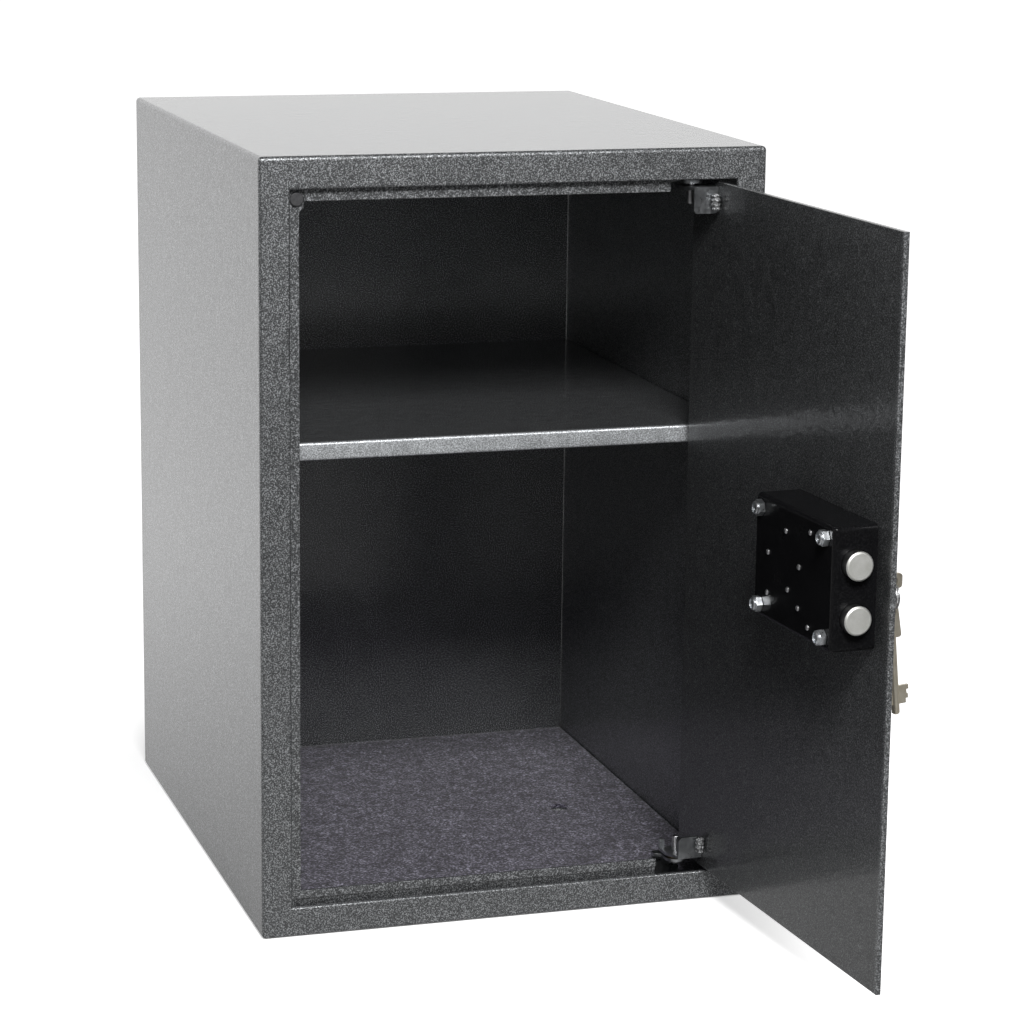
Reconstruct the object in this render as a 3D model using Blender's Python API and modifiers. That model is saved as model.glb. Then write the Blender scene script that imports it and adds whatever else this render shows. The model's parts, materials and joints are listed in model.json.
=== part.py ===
"""Key-locked steel safe with an inset door, built piece by piece. Metres, +Z up, front faces -Y."""
import math

import bmesh
import bpy
from mathutils import Matrix, Vector

for old in list(bpy.data.objects):
    bpy.data.objects.remove(old, do_unlink=True)

# Cabinet
BODY_W = 0.370
BODY_D = 0.445
BODY_H = 0.560
SHEET = 0.0025
BEND = 0.003
OPEN_BEND = 0.0018
BORDER_SIDE = 0.022
BORDER_TOP = 0.023
BORDER_BOTTOM = 0.022
FIT = 0.0003
BACK_T = 0.0025
ANCHOR_R = 0.007
ANCHOR_X = 0.110

# Door and its swing
DOOR_T = 0.004
DOOR_GAP = 0.002
DOOR_EASE = 0.0006
OPEN_ANGLE = math.radians(94.0)
PIVOT_IN = 0.0285
PIVOT_BACK = 0.0184

# Door stops and buffer
STOP_T = 0.002
STOP_LEG = 0.020
STOP_LIP_TOP = 0.0088
STOP_LIP_SIDE = 0.0078
STOP_LIP_BOTTOM = 0.0103
STOP_STEP = 0.0042
STOP_STEP_BACK = 0.0016
STOP_FROM_DOOR = 0.0026
STOP_SHORT = 0.048
TAB_PAST = 0.0032
TAB_H = 0.0135
BUFFER_R = 0.0051
BUFFER_IN = 0.0057
BUFFER_DOWN = 0.0071
BUFFER_STEM_R = 0.0019
BUFFER_BULB_R = 0.003

# Hinges
HINGE_T = 0.0025
HINGE_NOSE_R = 0.008
HINGE_BASE = 0.0135
HINGE_NECK = 0.0066
HINGE_REACH = 0.028
BRACKET_DROP_TOP = 0.0018
BRACKET_DROP_BOTTOM = 0.005
PIN_R = 0.0027
PIN_PLAY = 0.00012
PIN_HEAD_R = 0.0045
PIN_HEAD = 0.0018
PIN_PROUD = 0.011
LEAF_T = 0.0025
LEAF_DROP_TOP = 0.0034
LEAF_DROP_BOTTOM = 0.0078
LUG_IN = 0.0165
LUG_H_TOP = 0.019
LUG_H_BOTTOM = 0.0165
LUG_REACH = 0.0187
LUG_ROUND = 0.003
FOOT_PAST = 0.009
FOOT_REACH = 0.024
LEAF_TAB_W = 0.004
LEAF_TAB_H = 0.0065
WELD_R = 0.0036
WELD_LEN = 0.0125
WELD_FROM_END = 0.0045
WELD_SWELL = (0.5, 0.92, 0.76, 1.0, 0.78, 0.96, 0.72, 0.86, 0.45)
WASHER_R = 0.0065

# Shelf, rails and floor mat
SHELF_Z = 0.350
SHELF_T = 0.0015
SHELF_FOLD = 0.0133
SHELF_HEM = 0.010
SHELF_BEND = 0.002
SHELF_SIDE_GAP = 0.0008
SHELF_CLEAR = 0.002
SHELF_BACK_GAP = 0.004
RAIL_W = 0.014
RAIL_H = 0.020
RAIL_T = 0.0015
RAIL_IN = 0.014
MAT_T = 0.003
MAT_SIDE_GAP = 0.0009
MAT_HOLE_R = 0.008
MAT_NOTCH = 0.025

# Lock cover on the door's inner face
LOCK_FROM_EDGE = 0.020
LOCK_L = 0.118
LOCK_H = 0.085
LOCK_D = 0.0318
LOCK_Z = 0.299
LOCK_SHEET = 0.0015
LOCK_BEND = 0.0035
STUD_DX = 0.0965
STUD_DZ = 0.067
STUD_R = 0.003
STUD_IN = 0.0006
NUT_AF = 0.010
NUT_HEX = 0.0042
NUT_COLLAR = 0.0018
NUT_COLLAR_R = 0.0044
RIVET_R = 0.0014
RIVET_HEAD_R = 0.0021
RIVET_HEAD = 0.001

# Boltwork
BOLT_R = 0.010
BOLT_PITCH = 0.0365
BOLT_DZ = -0.0014
BOLT_DEPTH = 0.020
BOLT_SHOW = 0.0075
BOLT_CHAMFER = 0.0012
BOLT_PLAY = 0.00035
BOLT_SPIGOT_R = 0.003
BOLT_RIVET_R = 0.0041
BOLT_RIVET = 0.0012
THROW = 0.022
CARRIAGE_T = 0.003
CARRIAGE_DEPTH = 0.0245
FLANGE_FRONT = 0.0115
FLANGE_T = 0.0025
STRIP_W = 0.013
GUIDE_X = -0.0252
GUIDE_Z = 0.0322
GUIDE_DZ = -0.0004
POST_R = 0.0025
GUIDE_PLAY = 0.0004
ARM_POST_X = 0.0107
ARM_POST_Z = 0.0252

# Lever lock
KEY_X = 0.006
KEY_Z = -0.014
PILLAR_X = 0.0135
PILLAR_Z = -0.009
PILLAR_DX = 0.047
PILLAR_DZ = 0.028
PLATE_DEPTH = 0.005
PLATE_T = 0.002
PLATE_RIM = 0.0055
LEVER_T = 0.0016
LEVER_PITCH = 0.0032
LEVER_DEPTH = 0.011
LEVER_UP = 0.030
LEVER_DOWN = 0.0152
LEVER_SIDE_PLAY = 0.0005
LEVER_LIFT = 0.0016
GATE_Z = 0.019
GATE_H = 0.0036
POCKET_W = 0.007
POCKET_H = 0.008
STUMP_W = 0.004
STUMP_H = 0.003
STUMP_X = 0.020
DRUM_R = 0.0056
DRUM_PLAY = 0.0003
PINION_TEETH = 14
PINION_T = 0.004
PINION_DEPTH = 0.024
MESH_PLAY = 0.0003
HUB_R = 0.004
HUB_T = 0.0045
SPRING_T = 0.0005
SPRING_W = 0.0018
ESCUTCHEON_R = 0.017
ESCUTCHEON_T = 0.002

# Keys and ring
KEY_SHAFT_R = 0.0028
KEY_LEN = 0.0795
KEY_TIP_DEPTH = 0.030
BOW_LEN = 0.025
BOW_END_W = 0.0100
BOW_SHAFT_W = 0.0135
BOW_T = 0.0026
BOW_HOLE_R = 0.0035
BOW_HOLE_IN = 0.0071
BIT_T = 0.0024
BIT_RADII = (0.0100, 0.0084, 0.0094, 0.0076)
KEYHOLE_PLAY = 0.0006
RING_R = 0.009
RING_WIRE_R = 0.0008
RING_PITCH = 0.0019
RING_TURNS = 1.92
RING_HANG = 0.0021
SPARE_LEAN = math.radians(5.5)

FRONT = -BODY_D / 2.0
OPEN_X = BODY_W / 2.0 - BORDER_SIDE
OPEN_LOW = BORDER_BOTTOM
OPEN_TOP = BODY_H - BORDER_TOP
WALL_X = BODY_W / 2.0 - SHEET
DOOR_X = OPEN_X - DOOR_GAP
DOOR_LOW = OPEN_LOW + DOOR_GAP
DOOR_TOP = OPEN_TOP - DOOR_GAP
PIVOT = Vector((OPEN_X - PIVOT_IN, FRONT + PIVOT_BACK, 0.0))
COVER_X0 = -DOOR_X + LOCK_FROM_EDGE
COVER_X1 = COVER_X0 + LOCK_L
COVER_MID = (COVER_X0 + COVER_X1) / 2.0
COVER_FACE = DOOR_T + FIT + LOCK_D
COVER_BACK = COVER_FACE - LOCK_SHEET
AXIS_X = COVER_MID + KEY_X
AXIS_Z = LOCK_Z + KEY_Z
PINION_R = THROW / math.pi
MODULE = 2.0 * PINION_R / PINION_TEETH
FLANGE_X = COVER_X0 + LOCK_SHEET + 0.002 + THROW
LEVER_BACK = LEVER_DEPTH + LEVER_PITCH * (len(BIT_RADII) - 1) + LEVER_T
LOCK_REACH = COVER_FACE + FIT + NUT_HEX + NUT_COLLAR
SWING_REACH = PIVOT_BACK + math.hypot(PIVOT_IN - DOOR_GAP, PIVOT_BACK)
SHELF_FRONT = max(LOCK_REACH, SWING_REACH) + SHELF_CLEAR

work = bpy.context.scene.collection
cutters = bpy.data.collections.new("cutters")
work.children.link(cutters)


def depth(d):
    """Row Y of a point d behind the front plane, with the door shut."""
    return FRONT + d


def material(name, colour, metallic, roughness):
    mat = bpy.data.materials.new(name)
    mat.use_nodes = True
    shader = mat.node_tree.nodes["Principled BSDF"]
    shader.inputs["Base Color"].default_value = (*colour, 1.0)
    shader.inputs["Metallic"].default_value = metallic
    shader.inputs["Roughness"].default_value = roughness
    return mat


PAINT = ((0.13, 0.135, 0.14), 0.6, 0.45)
BLACK = ((0.01, 0.01, 0.012), 0.0, 0.25)
ZINC = ((0.62, 0.63, 0.65), 1.0, 0.3)
STEEL = ((0.55, 0.55, 0.56), 1.0, 0.35)
NICKEL = ((0.66, 0.62, 0.54), 1.0, 0.3)
BRASS = ((0.66, 0.50, 0.24), 1.0, 0.3)
RUBBER = ((0.05, 0.05, 0.052), 0.0, 0.6)
FELT = ((0.06, 0.058, 0.064), 0.0, 0.95)


def finish(name, bm, look):
    """One named object from a mesh, with its own material."""
    bmesh.ops.recalc_face_normals(bm, faces=bm.faces)
    mesh = bpy.data.meshes.new(name)
    bm.to_mesh(mesh)
    bm.free()
    obj = bpy.data.objects.new(name, mesh)
    if look is None:
        cutters.objects.link(obj)
        obj.hide_render = True
        obj.display_type = "WIRE"
    else:
        work.objects.link(obj)
        obj.data.materials.append(material(name, *look))
    return obj


def stitch(bm, rings):
    """Close a run of matching vertex rings into one solid skin."""
    bm.faces.new(rings[0])
    bm.faces.new(rings[-1])
    for one, two in zip(rings[:-1], rings[1:]):
        for i in range(len(one)):
            j = (i + 1) % len(one)
            bm.faces.new((one[i], one[j], two[j], two[i]))


def prism_mesh(outline, axis, low, high):
    """Flat outline pushed along one axis. Outline points are the other two axes in X, Y, Z order."""
    bm = bmesh.new()
    ends = []
    for value in (low, high):
        ring = []
        for u, v in outline:
            co = {"X": (value, u, v), "Y": (u, value, v), "Z": (u, v, value)}[axis]
            ring.append(bm.verts.new(co))
        ends.append(ring)
    stitch(bm, ends)
    return bm


def prism(name, outline, axis, low, high, look=None):
    return finish(name, prism_mesh(outline, axis, low, high), look)


def block_mesh(low, high):
    outline = [(low[0], low[1]), (high[0], low[1]), (high[0], high[1]), (low[0], high[1])]
    return prism_mesh(outline, "Z", low[2], high[2])


def block(name, low, high, look=None):
    return finish(name, block_mesh(low, high), look)


def ease(bm, radius, steps, pick):
    """Round the edges whose two end points both satisfy pick."""
    bmesh.ops.recalc_face_normals(bm, faces=bm.faces)
    chosen = [e for e in bm.edges if pick(e.verts[0].co, e.verts[1].co)]
    style = {"segments": steps, "profile": 0.5, "affect": "EDGES", "clamp_overlap": True}
    bmesh.ops.bevel(bm, geom=chosen, offset=radius, **style)


def rod(name, axis, centre, radius, low, high, look=None, sides=32):
    """Round bar along an axis. Centre is the other two axes in X, Y, Z order."""
    turn = [2.0 * math.pi * (i + 0.5) / sides for i in range(sides)]
    outline = [(centre[0] + radius * math.cos(a), centre[1] + radius * math.sin(a)) for a in turn]
    return prism(name, outline, axis, low, high, look)


def lathe(name, axis, centre, profile, look, sides=32):
    """Solid of revolution: (radius, position) pairs from one end to the other, both ends on the axis."""
    mesh = bpy.data.meshes.new(name)
    points = [(r, 0.0, -h) for r, h in profile]
    mesh.from_pydata(points, [(i, i + 1) for i in range(len(points) - 1)], [])
    obj = bpy.data.objects.new(name, mesh)
    if look is None:
        cutters.objects.link(obj)
        obj.hide_render = True
        obj.display_type = "WIRE"
    else:
        work.objects.link(obj)
        mesh.materials.append(material(name, *look))
    screw = obj.modifiers.new("spin", "SCREW")
    screw.axis = "Z"
    screw.steps = sides
    screw.render_steps = sides
    screw.use_merge_vertices = True
    screw.merge_threshold = 0.00001
    if axis == "Y":
        spot = (centre[0], 0.0, centre[1])
        turn = Matrix.Rotation(math.pi / 2.0, 4, "X")
    elif axis == "X":
        spot = (0.0, centre[0], centre[1])
        turn = Matrix.Rotation(-math.pi / 2.0, 4, "Y")
    else:
        spot = (centre[0], centre[1], 0.0)
        turn = Matrix.Rotation(math.pi, 4, "X")
    obj.matrix_world = Matrix.Translation(spot) @ turn
    return obj


def boolean(obj, other, mode):
    mod = obj.modifiers.new(mode.lower(), "BOOLEAN")
    mod.operation = mode
    mod.solver = "EXACT"
    mod.object = other


def cut(obj, *others):
    for other in others:
        boolean(obj, other, "DIFFERENCE")


def join(obj, *others):
    for other in others:
        boolean(obj, other, "UNION")


def empty(name, place, parent=None):
    obj = bpy.data.objects.new(name, None)
    obj.empty_display_size = 0.03
    obj.location = place
    work.objects.link(obj)
    if parent is not None:
        obj.parent = parent
        obj.matrix_parent_inverse = Matrix.Translation(-place_of[parent.name])
    place_of[name] = Vector(place)
    return obj


def hang(parent, *objs):
    """Parent pieces that were drawn with the door shut to an empty that may then be turned."""
    for obj in objs:
        keep = obj.matrix_basis.copy()
        obj.parent = parent
        obj.matrix_parent_inverse = Matrix.Translation(-place_of[parent.name])
        obj.matrix_basis = keep


place_of = {}
cabinet = empty("cabinet", (0.0, 0.0, 0.0))
door_pivot = empty("door_pivot", PIVOT)
key_axis = empty("key_axis", (AXIS_X, depth(0.0), AXIS_Z), door_pivot)
bolt_slide = empty("bolt_slide", (FLANGE_X, depth(BOLT_DEPTH), LOCK_Z), door_pivot)
shelf_seat = empty("shelf_seat", (0.0, 0.0, SHELF_Z))

# Cabinet shell: four walls and the folded front border in one piece, open at the back
bm = block_mesh((-BODY_W / 2.0, FRONT, 0.0), (BODY_W / 2.0, -FRONT, BODY_H))
ease(bm, BEND, 3, lambda a, b: min(a.y, b.y) < 0.0)
shell = finish("body_shell", bm, PAINT)
cut(shell, block("cut_inside", (-WALL_X, FRONT + SHEET, SHEET), (WALL_X, -FRONT + 0.01, BODY_H - SHEET)))
bm = bmesh.new()
rims = [(FRONT - 0.01, OPEN_BEND)]
for i in range(4):
    a = math.pi * i / 6.0
    rims.append((FRONT + OPEN_BEND * (1.0 - math.cos(a)), OPEN_BEND * (1.0 - math.sin(a))))
rims.append((FRONT + 2.0 * SHEET, 0.0))
rings = []
for y, wider in rims:
    x = OPEN_X + wider
    low = OPEN_LOW - wider
    high = OPEN_TOP + wider
    rings.append([bm.verts.new(co) for co in ((-x, y, low), (x, y, low), (x, y, high), (-x, y, high))])
stitch(bm, rings)
cut(shell, finish("cut_opening", bm, None))
for side in (-1.0, 1.0):
    tag = "left" if side < 0.0 else "right"
    cut(shell, rod("cut_floor_anchor_" + tag, "Z", (side * ANCHOR_X, 0.0), ANCHOR_R, -0.01, 0.01))

# Back panel, welded into the open end
edge = WALL_X - FIT
low = (-edge, -FRONT - BACK_T, SHEET + FIT)
high = (edge, -FRONT, BODY_H - SHEET - FIT)
back = block("back_panel", low, high, PAINT)

# Door stops: folded angles behind the border
stop_y = depth(DOOR_T + STOP_FROM_DOOR)
stop_end = OPEN_X - STOP_SHORT
low = OPEN_TOP - STOP_LIP_TOP
high = BODY_H - SHEET - FIT
angle = [(stop_y, low), (stop_y + STOP_T, low), (stop_y + STOP_T, high - STOP_T)]
angle += [(stop_y + STOP_LEG, high - STOP_T), (stop_y + STOP_LEG, high), (stop_y, high)]
lip = -OPEN_X + STOP_LIP_SIDE
tab_x = lip + TAB_PAST
stop_top = prism("stop_top", angle, "X", tab_x + FIT, stop_end, PAINT)

low = SHEET + FIT
high = OPEN_LOW + STOP_LIP_BOTTOM
step = OPEN_LOW + STOP_STEP
set_back = stop_y + STOP_STEP_BACK
angle = [(set_back, low), (stop_y + STOP_LEG, low), (stop_y + STOP_LEG, low + STOP_T)]
angle += [(set_back + STOP_T, low + STOP_T), (set_back + STOP_T, step + STOP_T)]
angle += [(stop_y + STOP_T, step + STOP_T), (stop_y + STOP_T, high)]
angle += [(stop_y, high), (stop_y, step), (set_back, step)]
stop_bottom = prism("stop_bottom", angle, "X", -edge, stop_end, PAINT)

side_low = OPEN_LOW + STOP_LIP_BOTTOM + FIT
side_high = BODY_H - SHEET - FIT
tab_low = OPEN_TOP - TAB_H
face = [(-edge, side_low), (lip, side_low), (lip, tab_low - TAB_PAST), (tab_x, tab_low)]
face += [(tab_x, side_high), (-edge, side_high)]
stop_side = prism("stop_side", face, "Y", stop_y, stop_y + STOP_T, PAINT)
leg = block("add_stop_leg", (-edge, stop_y, side_low), (-edge + STOP_T, stop_y + STOP_LEG, side_high))
join(stop_side, leg)
buffer_x = -OPEN_X + BUFFER_IN
buffer_z = OPEN_TOP - BUFFER_DOWN
hole = rod("cut_buffer", "Y", (buffer_x, buffer_z), BUFFER_STEM_R + FIT, stop_y - 0.01, stop_y + 0.01)
cut(stop_side, hole)

# Rubber buffer pushed into the corner tab
nose = depth(DOOR_T + 0.0004)
seat = stop_y - FIT
behind = stop_y + STOP_T + FIT
profile = [(0.0, nose), (BUFFER_R - 0.0008, nose), (BUFFER_R, nose + 0.0008), (BUFFER_R, seat)]
profile += [(BUFFER_STEM_R, seat), (BUFFER_STEM_R, behind), (BUFFER_BULB_R, behind)]
profile += [(BUFFER_STEM_R * 0.6, behind + 0.003), (0.0, behind + 0.003)]
door_buffer = lathe("door_buffer", "Y", (buffer_x, buffer_z), profile, RUBBER, 20)


def hinge_side(top):
    """Fixed bracket, pin, door leaf and weld bead of one hinge."""
    tag = "top" if top else "bottom"
    way = 1.0 if top else -1.0
    door_end = DOOR_TOP if top else DOOR_LOW
    wall = BODY_H - SHEET - FIT if top else SHEET + FIT
    near = door_end - way * (BRACKET_DROP_TOP if top else BRACKET_DROP_BOTTOM)
    far = near + way * HINGE_T
    middle = (near + far) / 2.0
    spot = (PIVOT.x, PIVOT.y)
    left = PIVOT.x - HINGE_BASE
    right = PIVOT.x + HINGE_NOSE_R
    back_y = depth(DOOR_T + STOP_FROM_DOOR) + HINGE_REACH
    neck_y = back_y - HINGE_NECK
    plan = [(left, back_y), (left, neck_y), (PIVOT.x - HINGE_NOSE_R, neck_y - 0.003)]
    for i in range(13):
        a = math.pi * (1.0 + i / 12.0)
        plan.append((PIVOT.x + HINGE_NOSE_R * math.cos(a), PIVOT.y + HINGE_NOSE_R * math.sin(a)))
    plan.append((right, back_y))
    bracket = prism("hinge_bracket_" + tag, plan, "Z", min(near, far), max(near, far), ZINC)
    low_co = (left, back_y - HINGE_T, min(wall, middle))
    high_co = (right, back_y, max(wall, middle))
    join(bracket, block("add_bracket_leg_" + tag, low_co, high_co))
    cut(bracket, rod("cut_bracket_" + tag, "Z", spot, PIN_R + FIT, near - 0.01, near + 0.01, None, 24))

    # The leaf: an upright lug against the door, a foot on the pin and, below, a small end tab
    leaf_end = door_end - way * (LEAF_DROP_TOP if top else LEAF_DROP_BOTTOM)
    inner = leaf_end - way * LEAF_T
    lug_end = leaf_end - way * (LUG_H_TOP if top else LUG_H_BOTTOM)
    f0 = depth(DOOR_T + FIT)
    lug_y = f0 + LUG_REACH
    foot_y = f0 + FOOT_REACH
    lug_x = PIVOT.x - LUG_IN
    far_x = PIVOT.x + FOOT_PAST
    shape = [(f0, leaf_end), (lug_y, leaf_end), (lug_y, lug_end), (f0, lug_end)]
    bm = prism_mesh(shape, "X", lug_x, lug_x + LEAF_T)
    ease(bm, LUG_ROUND, 4, lambda a, b: abs(a.z - lug_end) + abs(b.z - lug_end) + abs(a.y - b.y) < 1e-6)
    leaf = finish("hinge_leaf_" + tag, bm, ZINC)
    plan = [(lug_x, f0), (far_x, f0), (far_x, foot_y), (PIVOT.x - 0.004, foot_y), (lug_x, lug_y)]
    join(leaf, prism("add_foot_" + tag, plan, "Z", min(leaf_end, inner), max(leaf_end, inner)))
    if not top:
        low_co = (far_x - LEAF_T, foot_y - LEAF_TAB_W, leaf_end + LEAF_T / 4.0)
        high_co = (far_x, foot_y, inner + LEAF_TAB_H)
        join(leaf, block("add_leaf_tab", low_co, high_co))
    cut(leaf, rod("cut_leaf_pin_" + tag, "Z", spot, PIN_R + PIN_PLAY, inner - 0.01, inner + 0.01, None, 24))

    # Lumpy weld bead in the corner between lug and door
    start = leaf_end - way * WELD_FROM_END
    stride = WELD_LEN / (len(WELD_SWELL) - 1)
    profile = [(0.0, start)]
    profile += [(WELD_R * r, start - way * stride * n) for n, r in enumerate(WELD_SWELL)]
    profile += [(0.0, start - way * WELD_LEN)]
    if top:
        profile.reverse()
    weld = lathe("leaf_weld_" + tag, "Z", (lug_x - FIT - WELD_R, f0 + WELD_R), profile, ZINC, 14)

    pin_in = inner - way * PIN_PROUD
    head = far + way * FIT
    shaft = [(0.0, pin_in), (PIN_R - 0.0006, pin_in), (PIN_R, pin_in + way * 0.0006), (PIN_R, head)]
    shaft += [(PIN_HEAD_R, head), (PIN_HEAD_R, head + way * PIN_HEAD), (0.0, head + way * PIN_HEAD)]
    if not top:
        shaft.reverse()
    pin = lathe("hinge_pin_" + tag, "Z", spot, shaft, STEEL, 24)
    return bracket, pin, leaf, weld


bracket_top, pin_top, leaf_top, weld_top = hinge_side(True)
bracket_bottom, pin_bottom, leaf_bottom, weld_bottom = hinge_side(False)

# Thrust washer that carries the door on the lower bracket
w0 = DOOR_LOW + BRACKET_DROP_BOTTOM + FIT
w1 = DOOR_LOW + LEAF_DROP_BOTTOM - FIT
washer = rod("hinge_washer", "Z", (PIVOT.x, PIVOT.y), WASHER_R, w0, w1, BRASS, 24)
cut(washer, rod("cut_washer", "Z", (PIVOT.x, PIVOT.y), PIN_R + FIT, w0 - 0.01, w1 + 0.01, None, 24))

# Shelf with its folded front edge, and the two rails it lies on
shelf_x = WALL_X - SHELF_SIDE_GAP
y0 = depth(SHELF_FRONT)
y1 = -FRONT - BACK_T - SHELF_BACK_GAP
zb = SHELF_Z - SHELF_FOLD
shape = [(y0, SHELF_Z), (y1, SHELF_Z), (y1, SHELF_Z - SHELF_T), (y0 + SHELF_T, SHELF_Z - SHELF_T)]
shape += [(y0 + SHELF_T, zb + SHELF_T), (y0 + SHELF_HEM, zb + SHELF_T), (y0 + SHELF_HEM, zb), (y0, zb)]
bm = prism_mesh(shape, "X", -shelf_x, shelf_x)
ease(bm, SHELF_BEND, 3, lambda a, b: abs(a.y - y0) + abs(b.y - y0) + abs(a.z - b.z) < 1e-6)
shelf = finish("shelf", bm, PAINT)

rail_top = SHELF_Z - SHELF_T - FIT
rail_y0 = y0 + RAIL_IN
rail_y1 = y1 - 0.010
rails = []
for side in (-1.0, 1.0):
    tag = "left" if side < 0.0 else "right"
    wall = side * edge
    shape = [(wall, rail_top), (wall - side * RAIL_W, rail_top), (wall - side * RAIL_W, rail_top - RAIL_T)]
    shape += [(wall - side * RAIL_T, rail_top - RAIL_T), (wall - side * RAIL_T, rail_top - RAIL_H)]
    shape += [(wall, rail_top - RAIL_H)]
    rails.append(prism("shelf_rail_" + tag, shape, "Y", rail_y0, rail_y1, PAINT))

# Felt mat on the floor, notched round the lower hinge bracket
mat_x = WALL_X - MAT_SIDE_GAP
mat_y0 = stop_y + STOP_LEG + 0.0012
mat_y1 = -FRONT - BACK_T - MAT_SIDE_GAP
notch_x = PIVOT.x - MAT_NOTCH
notch_y = depth(DOOR_T + STOP_FROM_DOOR) + HINGE_REACH + 0.003
shape = [(-mat_x, mat_y0), (notch_x, mat_y0), (notch_x, notch_y), (mat_x, notch_y)]
shape += [(mat_x, mat_y1), (-mat_x, mat_y1)]
carpet = prism("floor_mat", shape, "Z", SHEET + FIT, SHEET + FIT + MAT_T, FELT)
for side in (-1.0, 1.0):
    tag = "left" if side < 0.0 else "right"
    cut(carpet, rod("cut_mat_" + tag, "Z", (side * ANCHOR_X, 0.0), MAT_HOLE_R, -0.01, 0.02))

# Door panel, drawn shut
low = (-DOOR_X, depth(0.0), DOOR_LOW)
high = (DOOR_X, depth(DOOR_T), DOOR_TOP)
bm = block_mesh(low, high)
ease(bm, DOOR_EASE, 2, lambda a, b: abs(a.y - b.y) < 1e-6)
door = finish("door_panel", bm, PAINT)


def keyhole(name, y_low, y_high, extra):
    """Round hole with a slot above and below, for a key with two bits."""
    r = KEY_SHAFT_R + KEYHOLE_PLAY + extra
    half = max(BIT_RADII) + KEYHOLE_PLAY + extra
    wide = BIT_T / 2.0 + KEYHOLE_PLAY + extra
    turn = math.asin(wide / r)
    outline = []
    for start in (0.0, math.pi):
        first = start - math.pi / 2.0 + turn
        last = start + math.pi / 2.0 - turn
        for i in range(9):
            a = first + (last - first) * i / 8.0
            outline.append((AXIS_X + r * math.cos(a), AXIS_Z + r * math.sin(a)))
        sign = 1.0 if start == 0.0 else -1.0
        outline.append((AXIS_X + sign * wide, AXIS_Z + sign * half))
        outline.append((AXIS_X - sign * wide, AXIS_Z + sign * half))
    return prism(name, outline, "Y", y_low, y_high)


cut(door, keyhole("cut_door_keyhole", depth(-0.01), depth(DOOR_T + 0.01), 0.0004))

# Keyhole plate on the door's outer face
out1 = depth(-FIT)
out0 = depth(-FIT - ESCUTCHEON_T)
profile = [(0.0, out0), (ESCUTCHEON_R - 0.0015, out0), (ESCUTCHEON_R, out0 + 0.0012)]
profile += [(ESCUTCHEON_R, out1), (0.0, out1)]
escutcheon = lathe("keyhole_plate", "Y", (AXIS_X, AXIS_Z), profile, ZINC, 36)
cut(escutcheon, keyhole("cut_plate_keyhole", out0 - 0.01, out1 + 0.01, 0.0))

# Lock cover: folded tray with its open side on the door
z0 = LOCK_Z - LOCK_H / 2.0
z1 = LOCK_Z + LOCK_H / 2.0
face_y = depth(COVER_FACE)
open_y = depth(DOOR_T + FIT)
bm = block_mesh((COVER_X0, open_y, z0), (COVER_X1, face_y, z1))
ease(bm, LOCK_BEND, 4, lambda a, b: max(a.y, b.y) > face_y - 1e-6)
cover = finish("lock_cover", bm, BLACK)
low = (COVER_X0 + LOCK_SHEET, open_y - 0.01, z0 + LOCK_SHEET)
high = (COVER_X1 - LOCK_SHEET, face_y - LOCK_SHEET, z1 - LOCK_SHEET)
bm = block_mesh(low, high)
ease(bm, LOCK_BEND - LOCK_SHEET, 3, lambda a, b: max(a.y, b.y) > face_y - LOCK_SHEET - 1e-6)
cut(cover, finish("cut_cover_inside", bm, None))
bolt_heights = (LOCK_Z + BOLT_DZ + BOLT_PITCH / 2.0, LOCK_Z + BOLT_DZ - BOLT_PITCH / 2.0)
for n, z in enumerate(bolt_heights):
    spot = (depth(BOLT_DEPTH), z)
    hole = rod("cut_cover_bolt_%d" % n, "X", spot, BOLT_R + BOLT_PLAY, COVER_X0 - 0.01, COVER_X0 + 0.005)
    cut(cover, hole)

# Four welded studs and the nuts that hold the cover
studs = []
nuts = []
corners = [(sx * STUD_DX / 2.0, sz * STUD_DZ / 2.0) for sz in (1.0, -1.0) for sx in (-1.0, 1.0)]
nut_y = depth(COVER_FACE + FIT)
nut_end = nut_y + NUT_HEX + NUT_COLLAR
for n, (dx, dz) in enumerate(corners):
    spot = (COVER_MID + dx, LOCK_Z + dz)
    hole = rod("cut_cover_stud_%d" % n, "Y", spot, STUD_R + FIT, depth(COVER_BACK) - 0.003, face_y + 0.01)
    cut(cover, hole)
    y0 = open_y
    y1 = nut_end - STUD_IN
    profile = [(0.0, y0), (STUD_R, y0), (STUD_R, y1 - 0.0007), (STUD_R - 0.0007, y1), (0.0, y1)]
    studs.append(lathe("cover_stud_%d" % (n + 1), "Y", spot, profile, ZINC, 16))
    hexagon = []
    for i in range(6):
        a = math.pi / 3.0 * i + 0.35 * n
        r = NUT_AF / 2.0 / math.cos(math.pi / 6.0)
        hexagon.append((spot[0] + r * math.cos(a), spot[1] + r * math.sin(a)))
    nut = prism("cover_nut_%d" % (n + 1), hexagon, "Y", nut_y, nut_y + NUT_HEX, ZINC)
    profile = [(0.0, nut_y + 0.001), (NUT_COLLAR_R, nut_y + 0.001), (NUT_COLLAR_R, nut_end - 0.0006)]
    profile += [(NUT_COLLAR_R - 0.0006, nut_end), (0.0, nut_end)]
    join(nut, lathe("add_nut_collar_%d" % n, "Y", spot, profile, None, 24))
    cut(nut, rod("cut_nut_%d" % n, "Y", spot, STUD_R + FIT, nut_y - 0.01, nut_end + 0.01, None, 24))
    nuts.append(nut)


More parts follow.
